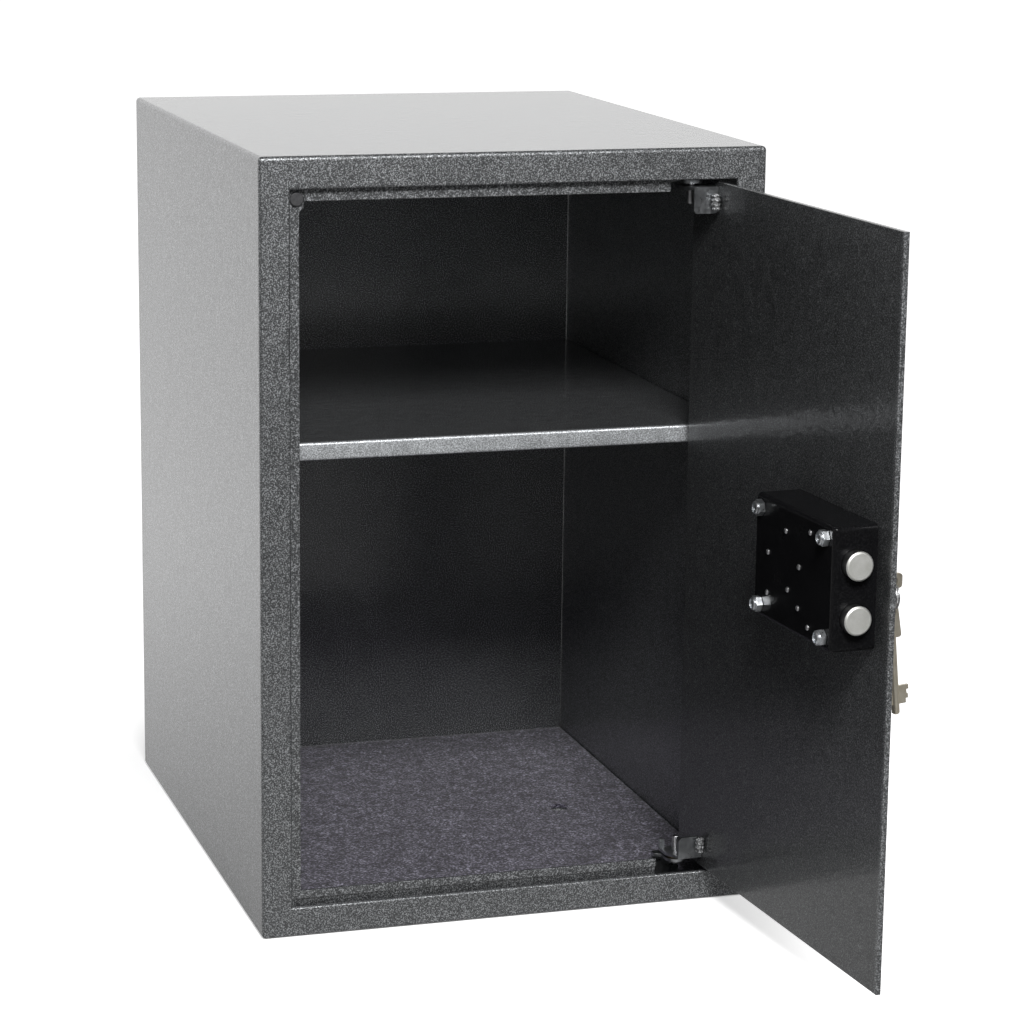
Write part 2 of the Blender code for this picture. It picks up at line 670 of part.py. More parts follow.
def post(name, x, z, start, front_spigot, radius=POST_R):
    """Steel post riveted through the cover, its bright end showing outside."""
    low = depth(COVER_BACK) - 0.003
    cut(cover, rod("cut_" + name, "Y", (x, z), RIVET_R + FIT, low, face_y + 0.01, None, 16))
    y0 = depth(start)
    y1 = depth(COVER_BACK) - FIT
    y2 = face_y + FIT
    profile = [(0.0, depth(front_spigot))]
    if front_spigot < start:
        profile += [(RIVET_R, depth(front_spigot)), (RIVET_R, y0)]
    profile += [(radius, y0), (radius, y1), (RIVET_R, y1), (RIVET_R, y2), (RIVET_HEAD_R, y2)]
    profile += [(RIVET_HEAD_R * 0.62, y2 + RIVET_HEAD), (0.0, y2 + RIVET_HEAD)]
    return lathe(name, "Y", (x, z), profile, STEEL, 12)


pillar_x = COVER_MID + PILLAR_X
pillar_z = LOCK_Z + PILLAR_Z
plate_back = PLATE_DEPTH + PLATE_T
plate_half = (PILLAR_DX / 2.0 + PLATE_RIM, PILLAR_DZ / 2.0 + PLATE_RIM)
low = (pillar_x - plate_half[0], depth(PLATE_DEPTH), pillar_z - plate_half[1])
high = (pillar_x + plate_half[0], depth(plate_back), pillar_z + plate_half[1])
bm = block_mesh(low, high)
ease(bm, 0.004, 4, lambda a, b: abs(a.x - b.x) + abs(a.z - b.z) < 1e-6)
lock_plate = finish("lock_plate", bm, STEEL)
plate_y0 = depth(PLATE_DEPTH) - 0.01
plate_y1 = depth(plate_back) + 0.01
cut(lock_plate, rod("cut_plate_drum", "Y", (AXIS_X, AXIS_Z), DRUM_R + FIT, plate_y0, plate_y1))
cut(lock_plate, keyhole("cut_plate_bits", plate_y0, plate_y1, 0.0004))
posts = []
pillar_spots = [(sx * PILLAR_DX / 2.0, sz * PILLAR_DZ / 2.0) for sz in (1.0, -1.0) for sx in (-1.0, 1.0)]
for n, (dx, dz) in enumerate(pillar_spots):
    x = pillar_x + dx
    z = pillar_z + dz
    hole = rod("cut_plate_pillar_%d" % n, "Y", (x, z), RIVET_R + FIT, depth(0.0), plate_y1, None, 16)
    cut(lock_plate, hole)
    posts.append(post("case_pillar_%d" % (n + 1), x, z, plate_back + FIT, PLATE_DEPTH - 0.0002))
guide_x = COVER_MID + GUIDE_X
guide_mid = LOCK_Z + GUIDE_DZ
posts.append(post("guide_pin_upper", guide_x, guide_mid + GUIDE_Z, 0.010, 0.010))
posts.append(post("guide_pin_lower", guide_x, guide_mid - GUIDE_Z, 0.010, 0.010))
arm_post_x = COVER_MID + ARM_POST_X
arm_post_z = LOCK_Z + ARM_POST_Z
posts.append(post("arm_post", arm_post_x, arm_post_z, 0.010, 0.010))
pinion_end = PINION_DEPTH + PINION_T
posts.append(post("drum_pivot", AXIS_X, AXIS_Z, pinion_end + HUB_T + FIT, KEY_TIP_DEPTH + 0.0011))

# Drum: slotted barrel that the key turns, with a pinion at its inner end
barrel0 = PLATE_DEPTH + 0.0002
profile = [(0.0, depth(barrel0)), (DRUM_R, depth(barrel0)), (DRUM_R, depth(PINION_DEPTH + 0.001))]
rear = pinion_end + HUB_T
profile += [(HUB_R, depth(PINION_DEPTH + 0.001)), (HUB_R, depth(rear)), (0.0, depth(rear))]
drum = lathe("lock_drum", "Y", (AXIS_X, AXIS_Z), profile, STEEL, 32)


def involute(r, base):
    a = math.acos(min(1.0, base / r))
    return math.tan(a) - a


PRESSURE = math.radians(20.0)
tip_r = PINION_R + 0.8 * MODULE
root_r = PINION_R - 1.15 * MODULE
base_r = PINION_R * math.cos(PRESSURE)
half_pitch = (math.pi * MODULE / 4.0 - MESH_PLAY / 2.0) / PINION_R
outline = []
for tooth in range(PINION_TEETH):
    mid = math.pi / 2.0 + 2.0 * math.pi * tooth / PINION_TEETH
    flank = [base_r + (tip_r - base_r) * k / 3.0 for k in range(4)]
    spread = [half_pitch + involute(PINION_R, base_r) - involute(r, base_r) for r in flank]
    points = [(root_r, -spread[0])] + [(r, -s) for r, s in zip(flank, spread)]
    points += [(r, s) for r, s in reversed(list(zip(flank, spread)))] + [(root_r, spread[0])]
    for r, s in points:
        outline.append((AXIS_X + r * math.cos(mid + s), AXIS_Z + r * math.sin(mid + s)))
join(drum, prism("add_pinion", outline, "Y", depth(PINION_DEPTH), depth(pinion_end)))
bore_r = KEY_SHAFT_R + DRUM_PLAY
cut(drum, rod("cut_drum_bore", "Y", (AXIS_X, AXIS_Z), bore_r, depth(0.0), depth(KEY_TIP_DEPTH + 0.0004)))
slot = BIT_T / 2.0 + 0.0004
low = (AXIS_X - slot, depth(0.0), AXIS_Z - 2.0 * DRUM_R)
high = (AXIS_X + slot, depth(LEVER_BACK + 0.0014), AXIS_Z + 2.0 * DRUM_R)
cut(drum, block("cut_drum_slot", low, high))
hole_r = RIVET_R + FIT
hole_y = depth(KEY_TIP_DEPTH + 0.0008)
cut(drum, rod("cut_drum_rear", "Y", (AXIS_X, AXIS_Z), hole_r, hole_y, depth(rear + 0.01), None, 24))

# Bolt carriage: plate with a rack, an upright for the bolts and the stump that enters the lever gates
rack_z = AXIS_Z + PINION_R
root_z = rack_z + 1.15 * MODULE
arm_top = arm_post_z - POST_R - GUIDE_PLAY
strip_low = guide_mid - GUIDE_Z + POST_R + GUIDE_PLAY
strip_high = guide_mid + GUIDE_Z - POST_R - GUIDE_PLAY
strip_x1 = FLANGE_X + STRIP_W
arm_x1 = AXIS_X + THROW + 0.005
pitch = math.pi * MODULE
rack = []
first = -2
last = int(THROW / pitch) + 2
half = pitch / 4.0 - MESH_PLAY / 2.0
slope = math.tan(PRESSURE)
for n in range(first, last):
    mid = AXIS_X + (n + 0.5) * pitch
    if mid + pitch / 2.0 > arm_x1 - 0.0005:
        break
    rack.append((mid - half - slope * 1.15 * MODULE, root_z))
    rack.append((mid - half + slope * 0.8 * MODULE, rack_z - 0.8 * MODULE))
    rack.append((mid + half - slope * 0.8 * MODULE, rack_z - 0.8 * MODULE))
    rack.append((mid + half + slope * 1.15 * MODULE, root_z))
outline = [(FLANGE_X, strip_low), (strip_x1, strip_low), (strip_x1, root_z)]
outline += rack
outline += [(arm_x1, root_z), (arm_x1, arm_top), (strip_x1, arm_top)]
outline += [(strip_x1, strip_high), (FLANGE_X, strip_high)]
carriage_back = CARRIAGE_DEPTH + CARRIAGE_T
carriage = prism("bolt_carriage", outline, "Y", depth(CARRIAGE_DEPTH), depth(carriage_back), STEEL)
low = (FLANGE_X, depth(FLANGE_FRONT), strip_low)
high = (FLANGE_X + FLANGE_T, depth(CARRIAGE_DEPTH + CARRIAGE_T / 2.0), strip_high)
join(carriage, block("add_flange", low, high))
stump_x = AXIS_X + STUMP_X
stump_z = AXIS_Z + GATE_Z
low = (stump_x - STUMP_W / 2.0, depth(LEVER_DEPTH - 0.0015), stump_z - STUMP_H / 2.0)
high = (stump_x + STUMP_W / 2.0, depth(CARRIAGE_DEPTH + CARRIAGE_T / 2.0), stump_z + STUMP_H / 2.0)
join(carriage, block("add_stump", low, high))
slot_z = pillar_z + PILLAR_DZ / 2.0
slot_x = pillar_x - PILLAR_DX / 2.0
slot_r = POST_R + GUIDE_PLAY
outline = []
for start, centre in ((math.pi / 2.0, slot_x), (-math.pi / 2.0, slot_x + THROW)):
    for i in range(9):
        a = start + math.pi * i / 8.0
        outline.append((centre + slot_r * math.cos(a), slot_z + slot_r * math.sin(a)))
slot_y0 = depth(CARRIAGE_DEPTH) - 0.01
cut(carriage, prism("cut_carriage_slot", outline, "Y", slot_y0, depth(carriage_back) + 0.01))

# Locking bolts riveted to the upright
bolts = []
for n, z in enumerate(bolt_heights):
    tag = "upper" if n == 0 else "lower"
    spot = (depth(BOLT_DEPTH), z)
    end = COVER_X0 - BOLT_SHOW
    seat = FLANGE_X - FIT
    clench = FLANGE_X + FLANGE_T + FIT
    profile = [(0.0, end), (BOLT_R - BOLT_CHAMFER, end), (BOLT_R, end + BOLT_CHAMFER), (BOLT_R, seat)]
    profile += [(BOLT_SPIGOT_R, seat), (BOLT_SPIGOT_R, clench), (BOLT_RIVET_R, clench)]
    profile += [(BOLT_RIVET_R * 0.7, clench + BOLT_RIVET), (0.0, clench + BOLT_RIVET)]
    bolts.append(lathe("locking_bolt_" + tag, "X", spot, profile, STEEL, 32))
    hole = rod("cut_flange_" + tag, "X", spot, BOLT_SPIGOT_R + FIT, FLANGE_X - 0.01, FLANGE_X + 0.01)
    cut(carriage, hole)

# Levers: sliding plates with a round opening for the key, a passage for its bits and a gate for the stump
levers = []
lever_x0 = pillar_x - PILLAR_DX / 2.0 + POST_R + LEVER_SIDE_PLAY
lever_x1 = pillar_x + PILLAR_DX / 2.0 - POST_R - LEVER_SIDE_PLAY
for n, radius in enumerate(BIT_RADII):
    y0 = depth(LEVER_DEPTH + LEVER_PITCH * n)
    y1 = y0 + LEVER_T
    bm = block_mesh((lever_x0, y0, AXIS_Z - LEVER_DOWN), (lever_x1, y1, AXIS_Z + LEVER_UP))
    ease(bm, 0.002, 3, lambda a, b: abs(a.x - b.x) + abs(a.z - b.z) < 1e-6)
    lever = finish("lever_%d" % (n + 1), bm, BRASS)
    deep = (y0 - 0.0005, y1 + 0.0005)
    hole = rod("cut_lever_round_%d" % n, "Y", (AXIS_X, AXIS_Z), radius + 0.0005, deep[0], deep[1], None, 36)
    cut(lever, hole)
    reach = max(BIT_RADII) + LEVER_LIFT + 0.0006
    wide = BIT_T / 2.0 + 0.0006
    low = (AXIS_X - wide, deep[0], AXIS_Z - reach)
    high = (AXIS_X + wide, deep[1], AXIS_Z + reach)
    cut(lever, block("cut_lever_pass_%d" % n, low, high))
    low = (stump_x - THROW, deep[0], stump_z - GATE_H / 2.0)
    high = (stump_x, deep[1], stump_z + GATE_H / 2.0)
    cut(lever, block("cut_lever_gate_%d" % n, low, high))
    for m, mid in enumerate((stump_x, stump_x - THROW)):
        low = (mid - POCKET_W / 2.0, deep[0], stump_z - POCKET_H / 2.0)
        high = (mid + POCKET_W / 2.0, deep[1], stump_z + POCKET_H / 2.0)
        cut(lever, block("cut_lever_pocket_%d_%d" % (n, m), low, high))
    levers.append(lever)

# Comb spring over the levers, fixed under the arm post
spring_top = arm_post_z - POST_R - GUIDE_PLAY
spring_low = AXIS_Z + LEVER_UP + LEVER_LIFT + 0.0006
base_x0 = arm_post_x - 0.004
base_x1 = arm_post_x + 0.004
low = (base_x0, depth(LEVER_DEPTH - 0.0004), spring_top - 0.0012)
high = (base_x1, depth(LEVER_BACK + 0.0004), spring_top)
spring = block("spring_comb", low, high, STEEL)
for n in range(len(BIT_RADII)):
    mid = LEVER_DEPTH + LEVER_PITCH * n + LEVER_T / 2.0
    tip = lever_x1 - 0.004
    shape = [(base_x1 - 0.001, spring_top - 0.0002), (base_x1 - 0.001, spring_top - 0.0002 - SPRING_T)]
    shape += [(tip, spring_low), (tip, spring_low + SPRING_T)]
    finger = prism("add_finger_%d" % n, shape, "Y", depth(mid - SPRING_W / 2.0), depth(mid + SPRING_W / 2.0))
    join(spring, finger)


def key_solid(name, place):
    """Double-bitted key. Local Y runs from bow to tip, Z across the bits, X through the thickness."""

    def part(tag, bm, look):
        bm.transform(place)
        return finish(tag, bm, look)

    sides = 24
    bm = bmesh.new()
    stations = [(BOW_LEN - 0.004, KEY_SHAFT_R - 0.0006), (BOW_LEN - 0.002, KEY_SHAFT_R)]
    stations += [(KEY_LEN - 0.001, KEY_SHAFT_R), (KEY_LEN, KEY_SHAFT_R - 0.001)]
    rings = []
    for along, r in stations:
        ring = []
        for i in range(sides):
            a = 2.0 * math.pi * (i + 0.5) / sides
            ring.append(bm.verts.new((r * math.cos(a), along, r * math.sin(a))))
        rings.append(ring)
    stitch(bm, rings)
    key = part(name, bm, NICKEL)

    a = BOW_END_W / 2.0
    b = BOW_SHAFT_W / 2.0
    shape = [(0.0, -a), (0.0, a), (BOW_LEN, b), (BOW_LEN, -b)]
    bm = prism_mesh(shape, "X", -BOW_T / 2.0, BOW_T / 2.0)
    ease(bm, 0.0022, 4, lambda p, q: abs(p.y - q.y) + abs(p.z - q.z) < 1e-6)
    join(key, part("add_bow_" + name, bm, None))

    shape = []
    tip = KEY_LEN - KEY_TIP_DEPTH
    for sign in (1.0, -1.0):
        steps = list(enumerate(BIT_RADII))
        if sign < 0.0:
            steps = list(reversed(steps))
        for n, r in steps:
            y0 = tip + LEVER_DEPTH + LEVER_PITCH * n - (LEVER_PITCH - LEVER_T) / 2.0
            y1 = y0 + LEVER_PITCH
            pair = [(y0, sign * r), (y1, sign * r)]
            shape += pair if sign > 0.0 else list(reversed(pair))
    bm = prism_mesh(shape, "X", -BIT_T / 2.0, BIT_T / 2.0)
    join(key, part("add_bits_" + name, bm, None))

    turns = [math.pi * (i + 0.5) / 16.0 for i in range(32)]
    shape = [(BOW_HOLE_IN + BOW_HOLE_R * math.cos(t), BOW_HOLE_R * math.sin(t)) for t in turns]
    bm = prism_mesh(shape, "X", -0.01, 0.01)
    cut(key, part("cut_bow_" + name, bm, None))
    return key


bow_end = KEY_TIP_DEPTH - KEY_LEN
key = key_solid("key_in_lock", Matrix.Translation((AXIS_X, depth(bow_end), AXIS_Z)))
ring_y = depth(bow_end + BOW_HOLE_IN)
ring_z = AXIS_Z - RING_HANG - RING_R
low_wire = Vector((AXIS_X, ring_y + RING_PITCH / 4.0, ring_z - RING_R))
lean = Matrix.Translation(low_wire) @ Matrix.Rotation(-SPARE_LEAN, 4, "X")
turn = Matrix.Rotation(-math.pi / 2.0, 4, "X")
spare = key_solid("spare_key", lean @ Matrix.Translation((0.0, 0.0, BOW_HOLE_IN - RING_HANG)) @ turn)

# Split ring: round wire wound nearly twice round
bm = bmesh.new()
count = 56
rings = []
for i in range(count + 1):
    t = i / count
    a = 2.0 * math.pi * RING_TURNS * (t - 0.5)
    shift = RING_PITCH * RING_TURNS * (t - 0.5)
    centre = Vector((AXIS_X + RING_R * math.cos(a), ring_y + shift, ring_z + RING_R * math.sin(a)))
    out = Vector((math.cos(a), 0.0, math.sin(a)))
    ring = []
    for k in range(6):
        b = 2.0 * math.pi * k / 6.0
        spoke = out * math.cos(b) + Vector((0.0, math.sin(b), 0.0))
        ring.append(bm.verts.new(centre + RING_WIRE_R * spoke))
    rings.append(ring)
stitch(bm, rings)
ring = finish("key_ring", bm, STEEL)

# What rides on the door is parented to its pivot, which is then turned to the photographed angle
hang(door_pivot, door, leaf_top, leaf_bottom, weld_top, weld_bottom, cover, lock_plate, spring, escutcheon)
hang(door_pivot, *studs, *nuts, *posts, *levers)
hang(bolt_slide, carriage, *bolts)
hang(key_axis, drum, key, spare, ring)
hang(cabinet, shell, back, stop_top, stop_side, stop_bottom, door_buffer, bracket_top, bracket_bottom)
hang(cabinet, pin_top, pin_bottom, washer, carpet, *rails)
hang(shelf_seat, shelf)
for cutter in list(cutters.objects):
    users = [o for o in work.objects if any(m.type == "BOOLEAN" and m.object == cutter for m in o.modifiers)]
    if users and users[0].parent is not None:
        hang(users[0].parent, cutter)
door_pivot.rotation_euler = (0.0, 0.0, OPEN_ANGLE)
bpy.context.view_layer.update()
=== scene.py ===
import json
import math

import bmesh
import bpy
from mathutils import Matrix, Vector, noise


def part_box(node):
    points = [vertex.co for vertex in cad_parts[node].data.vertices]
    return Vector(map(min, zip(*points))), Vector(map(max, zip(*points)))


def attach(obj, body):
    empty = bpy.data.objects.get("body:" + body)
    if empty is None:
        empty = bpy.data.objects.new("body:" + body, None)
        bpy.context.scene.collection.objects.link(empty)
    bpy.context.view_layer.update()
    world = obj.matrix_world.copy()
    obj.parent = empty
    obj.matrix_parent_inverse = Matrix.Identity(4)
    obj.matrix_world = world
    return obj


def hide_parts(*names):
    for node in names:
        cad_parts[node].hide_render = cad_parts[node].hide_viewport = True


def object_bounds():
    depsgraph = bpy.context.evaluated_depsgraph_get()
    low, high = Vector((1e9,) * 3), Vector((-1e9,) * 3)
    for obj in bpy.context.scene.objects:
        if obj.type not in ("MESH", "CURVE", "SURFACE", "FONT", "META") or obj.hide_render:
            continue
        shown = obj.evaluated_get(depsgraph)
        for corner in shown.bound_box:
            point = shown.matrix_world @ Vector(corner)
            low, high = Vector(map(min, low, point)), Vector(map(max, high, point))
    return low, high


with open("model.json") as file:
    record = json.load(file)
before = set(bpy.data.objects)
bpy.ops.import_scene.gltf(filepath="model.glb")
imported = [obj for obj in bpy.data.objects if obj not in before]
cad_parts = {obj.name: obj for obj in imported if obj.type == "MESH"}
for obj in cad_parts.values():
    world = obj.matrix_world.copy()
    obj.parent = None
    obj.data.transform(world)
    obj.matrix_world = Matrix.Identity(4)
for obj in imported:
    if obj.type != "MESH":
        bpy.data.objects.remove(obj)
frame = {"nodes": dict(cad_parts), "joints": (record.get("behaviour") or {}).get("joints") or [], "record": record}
cad_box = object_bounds()
nodes = frame["nodes"]
scene = bpy.context.scene
scene.view_settings.view_transform = "Standard"

# Camera, solved from the cabinet's corners in the photograph
CAMERA_PLACE = Vector((-0.6659, -2.3510, 0.8001))
CAMERA_YAW = math.radians(17.347)
CAMERA_PITCH = math.radians(-12.507)
CAMERA_ROLL = math.radians(0.692)
CAMERA_LENS = 112.92
CAMERA_SHIFT = (-0.00146, -0.00244)
CAMERA_SENSOR = 36.0
CAMERA_FAR = 100.0

# Edge softening, metres
EDGE_SMALL = 0.00022
EDGE_LARGE = 0.0005
EDGE_ANGLE = math.radians(38.0)
EDGE_STEPS = 2
JOIN_REACH = 0.000002
FLAT_ANGLE = math.radians(0.5)

# Grain of the finishes, in features per metre
PAINT_GRAIN = 1100.0
PAINT_PATCH = 60.0
PEEL_GRAIN = 170.0
PLATE_GRAIN = 240.0
TURNED_RINGS = 2400.0
BOLT_CLOUD = 130.0
BLACK_CLOUD = 40.0
ZINC_STAIN = 70.0
ZINC_SKIN = 1400.0
WELD_SKIN = 420.0
STEEL_GRAIN = 300.0
BRASS_GRAIN = 260.0
KEY_WEAR = 160.0
KEY_SCRATCH = 900.0
RUBBER_BLOOM = 600.0
FELT_FIBRE = 620.0
FELT_PATCH = 110.0
FELT_HAIR = 1500.0

# Felt hairs: length in widths, and the directions they lie in
FELT_HAIR_LONG = 9.0
FELT_HAIR_TURNS = [math.radians(turn) for turn in (25.0, 85.0, 145.0)]

# Depth over which the painted highlight of a fold (its lighter paint) fades out, metres
HIGHLIGHT_FADE = 0.004

# Felt mat, metres, and the waves of its top face per metre
MAT_CELL = 0.006
MAT_EDGE = 0.0008
MAT_EDGE_ANGLE = math.radians(60.0)
MAT_RISE = 0.00035
MAT_WAVE = 90.0
HOLE_DEPTH = 0.02
HOLE_SIDES = 32

# Light and floor
AMBIENT = 0.12
FRONT_GLOW = 0.26
LOW_GLOW = 0.05
TOP_GLOW = 0.06
LOW_BAND = (-0.12, 0.05)
BACK_BAND = (0.1, 0.7)
TOP_BAND = (0.35, 0.7)
LAMP_PLACE = Vector((-0.22, -1.95, 1.80))
LAMP_SIZE = (0.9, 0.6)
LAMP_POWER = 66.0
FLOOR_SIDE = 20.0
FLOOR_AHEAD = 1.1
FLOOR_Z = -0.0002
FLOOR_PALE = 0.92
FLOOR_BOUNCE = 0.30
FLOOR_HOLD = 0.4
FLOOR_FADE = 0.25
FLOOR_UNDER = 0.004
MIRROR_NEAR = -0.9
MIRROR_FAR = 1.2
MIRROR_PEAK = 0.82


class Look:
    """A Principled material, with short calls for the nodes that feed it in object coordinates."""

    def __init__(self, name, **sockets):
        self.mat = bpy.data.materials.new(name)
        self.mat.use_nodes = True
        self.tree = self.mat.node_tree
        self.shader = self.tree.nodes["Principled BSDF"]
        for socket, value in sockets.items():
            self.shader.inputs[socket.replace("_", " ")].default_value = value
        self.point = self.node("ShaderNodeTexCoord").outputs["Object"]

    def node(self, kind, **inputs):
        made = self.tree.nodes.new(kind)
        for socket, value in inputs.items():
            made.inputs[socket.replace("_", " ")].default_value = value
        return made

    def link(self, out, node, socket):
        self.tree.links.new(out, node.inputs[socket])

    def noise(self, scale, detail=2.0, stretch=None):
        made = self.node("ShaderNodeTexNoise", Scale=scale, Detail=detail)
        point = self.point
        if stretch is not None:
            mapping = self.node("ShaderNodeMapping", Scale=stretch)
            self.link(point, mapping, "Vector")
            point = mapping.outputs["Vector"]
        self.link(point, made, "Vector")
        return made.outputs[0]

    def hairs(self, scale, long, turn):
        """Noise drawn out along one direction in the XY plane."""
        made = self.node("ShaderNodeTexNoise", Scale=scale, Detail=1.0)
        mapping = self.node("ShaderNodeMapping", Rotation=(0.0, 0.0, turn), Scale=(1.0, long, 1.0))
        mapping.vector_type = "TEXTURE"
        self.link(self.point, mapping, "Vector")
        self.link(mapping.outputs["Vector"], made, "Vector")
        return made.outputs[0]

    def cells(self, scale):
        made = self.node("ShaderNodeTexVoronoi", Scale=scale)
        made.feature = "SMOOTH_F1"
        self.link(self.point, made, "Vector")
        return made.outputs["Distance"]

    def ramp(self, value, *stops):
        made = self.node("ShaderNodeValToRGB")
        points = made.color_ramp.elements
        while len(points) < len(stops):
            points.new(0.5)
        for point, (place, colour) in zip(points, stops):
            point.position = place
            point.color = (*colour, 1.0)
        self.link(value, made, "Fac")
        return made.outputs["Color"]

    def span(self, value, low, high, start=0.3, end=0.7):
        made = self.node("ShaderNodeMapRange")
        made.inputs["From Min"].default_value = start
        made.inputs["From Max"].default_value = end
        made.inputs["To Min"].default_value = low
        made.inputs["To Max"].default_value = high
        self.link(value, made, "Value")
        return made.outputs["Result"]

    def greys(self, value, *stops):
        """Ramp of faintly cool greys."""
        return self.ramp(value, *[(place, (grey, grey * 1.015, grey * 1.03)) for place, grey in stops])

    def mix(self, one, two, share, kind="MIX"):
        made = self.node("ShaderNodeMix")
        made.data_type = "RGBA"
        made.blend_type = kind
        if hasattr(share, "is_output"):
            self.tree.links.new(share, made.inputs[0])
        else:
            made.inputs[0].default_value = share
        self.tree.links.new(one, made.inputs[6])
        self.tree.links.new(two, made.inputs[7])
        return made.outputs[2]

    def tint(self, colour, pattern):
        """Multiply a colour by a grey pattern."""
        return self.mix(colour, pattern, 1.0, "MULTIPLY")

    def vector(self, kind, one, two=None):
        made = self.node("ShaderNodeVectorMath")
        made.operation = kind
        self.link(one, made, 0)
        if two is not None:
            made.inputs[1].default_value = two
        return made.outputs

    def axis(self, letter):
        made = self.node("ShaderNodeSeparateXYZ")
        self.link(self.point, made, 0)
        return made.outputs[letter]

    def colour(self, out):
        self.link(out, self.shader, "Base Color")

    def roughness(self, out):
        self.link(out, self.shader, "Roughness")

    def bump(self, height, strength, distance, layer="Normal"):
        """Stack bumps: the latest one lies over those before it."""
        made = self.node("ShaderNodeBump", Strength=strength, Distance=distance)
        self.link(height, made, "Height")
        before = self.shader.inputs[layer]
        if before.is_linked:
            self.link(before.links[0].from_socket, made, "Normal")
        self.link(made.outputs["Normal"], self.shader, layer)


def hammer_paint(name, tones, fold=None):
    """Graphite paint with aluminium flake, drawn up into fine beads under a clear gloss."""
    look = Look(name, Metallic=0.8, Coat_Weight=1.0, Coat_Roughness=0.14)
    grain = look.noise(PAINT_GRAIN, 2.0)
    places = (0.38, 0.52, 0.66)
    flake = look.greys(grain, *zip(places, tones))
    # Lighter tones near the front face of a fold: a painted highlight
    if fold is not None:
        front, highlight_tones = fold
        edge = look.span(look.axis("Y"), 1.0, 0.0, front, front + HIGHLIGHT_FADE)
        flake = look.mix(flake, look.greys(grain, *zip(places, highlight_tones)), edge)
    patch = look.greys(look.noise(PAINT_PATCH, 3.0), (0.3, 0.84), (0.7, 0.97))
    look.colour(look.tint(flake, patch))
    look.roughness(look.span(look.noise(PAINT_PATCH * 2.0), 0.46, 0.54))
    look.bump(grain, 0.35, 0.0004)
    look.bump(look.noise(PEEL_GRAIN, 1.0), 0.12, 0.0012, "Coat Normal")
    return look.mat


def gloss_black(name):
    """Black gloss paint with a trace of dust."""
    look = Look(name, Specular_IOR_Level=0.14)
    dust = look.noise(PLATE_GRAIN * 4.0, 4.0)
    look.colour(look.ramp(dust, (0.45, (0.004, 0.004, 0.0045)), (0.8, (0.014, 0.014, 0.015))))
    look.roughness(look.span(look.noise(BLACK_CLOUD, 3.0), 0.18, 0.28))
    look.bump(look.noise(PEEL_GRAIN * 2.0, 1.0), 0.10, 0.0004)
    return look.mat


def zinc(name, dark, bright):
    """Zinc plate: pale spangles under a few stains."""
    look = Look(name, Metallic=1.0)
    spangle = look.greys(look.cells(PLATE_GRAIN), (0.0, dark), (0.8, bright))
    stain = look.greys(look.noise(ZINC_STAIN, 4.0), (0.35, 0.6), (0.62, 0.97))
    look.colour(look.tint(spangle, stain))
    look.roughness(look.span(look.noise(PLATE_GRAIN * 2.0, 3.0), 0.26, 0.42))
    look.bump(look.noise(ZINC_SKIN, 2.0), 0.08, 0.0002)
    return look.mat


def weld_bead(name):
    """Weld metal: dull grey, with the uneven skin of a hand-laid bead."""
    look = Look(name, Metallic=1.0)
    skin = look.noise(WELD_SKIN, 3.0)
    look.colour(look.greys(skin, (0.3, 0.16), (0.7, 0.5)))
    look.roughness(look.span(skin, 0.36, 0.6))
    look.bump(skin, 1.0, 0.003)
    return look.mat


def steel(name):
    """Plain drawn steel."""
    look = Look(name, Metallic=1.0)
    grain = look.noise(STEEL_GRAIN, 3.0, (1.0, 1.0, 6.0))
    look.colour(look.ramp(grain, (0.3, (0.48, 0.48, 0.49)), (0.7, (0.60, 0.60, 0.61))))
    look.roughness(look.span(grain, 0.26, 0.4))
    look.bump(grain, 0.05, 0.0002)
    return look.mat


def turned_steel(name, bolt, axis):
    """Bolt steel with the fine rings of the lathe, measured from the bolt's own axis."""
    look = Look(name, Metallic=1.0)
    low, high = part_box(bolt)
    middle = (Vector(low) + Vector(high)) / 2.0
    away = look.vector("SUBTRACT", look.point, middle)["Vector"]
    across = look.vector("CROSS_PRODUCT", away, axis)["Vector"]
    reach = look.vector("LENGTH", across)["Value"]
    rings = look.node("ShaderNodeTexNoise", Scale=TURNED_RINGS, Detail=2.0)
    rings.noise_dimensions = "1D"
    look.link(reach, rings, "W")
    cloud = look.ramp(look.noise(BOLT_CLOUD, 3.0), (0.3, (0.84, 0.84, 0.82)), (0.7, (1.0, 1.0, 1.0)))
    turned = look.ramp(rings.outputs[0], (0.3, (0.82, 0.82, 0.79)), (0.7, (0.92, 0.92, 0.89)))
    normal = look.node("ShaderNodeTexCoord").outputs["Normal"]
    # Share of the end face; the bolt's side away from it is painted dark: painted shade and dark reflection
    end = look.span(look.vector("DOT_PRODUCT", normal, axis)["Value"], 0.0, 1.0, 0.45, 0.75)
    barrel_painted_shade = look.ramp(rings.outputs[0], (0.3, (0.34, 0.34, 0.34)), (0.7, (0.40, 0.40, 0.40)))
    look.colour(look.mix(barrel_painted_shade, look.tint(turned, cloud), end))
    look.roughness(look.span(end, 0.3, 0.6, 0.0, 1.0))
    look.bump(rings.outputs[0], 0.12, 0.0001)
    return look.mat


def brass(name):
    """Stamped brass."""
    look = Look(name, Metallic=1.0)
    grain = look.noise(BRASS_GRAIN, 3.0, (1.0, 1.0, 8.0))
    look.colour(look.ramp(grain, (0.3, (0.56, 0.41, 0.18)), (0.7, (0.72, 0.55, 0.27))))
    look.roughness(look.span(grain, 0.24, 0.4))
    look.bump(grain, 0.06, 0.0002)
    return look.mat


def nickel(name):
    """Warm nickel plate, worn and finely scratched."""
    look = Look(name, Metallic=1.0)
    worn = look.noise(KEY_WEAR, 4.0)
    look.colour(look.ramp(worn, (0.3, (0.78, 0.71, 0.57)), (0.7, (0.92, 0.86, 0.73))))
    scratch = look.noise(KEY_SCRATCH, 2.0, (0.4, 5.0, 2.0))
    look.roughness(look.span(scratch, 0.35, 0.45))
    look.bump(scratch, 0.03, 0.0002)
    return look.mat


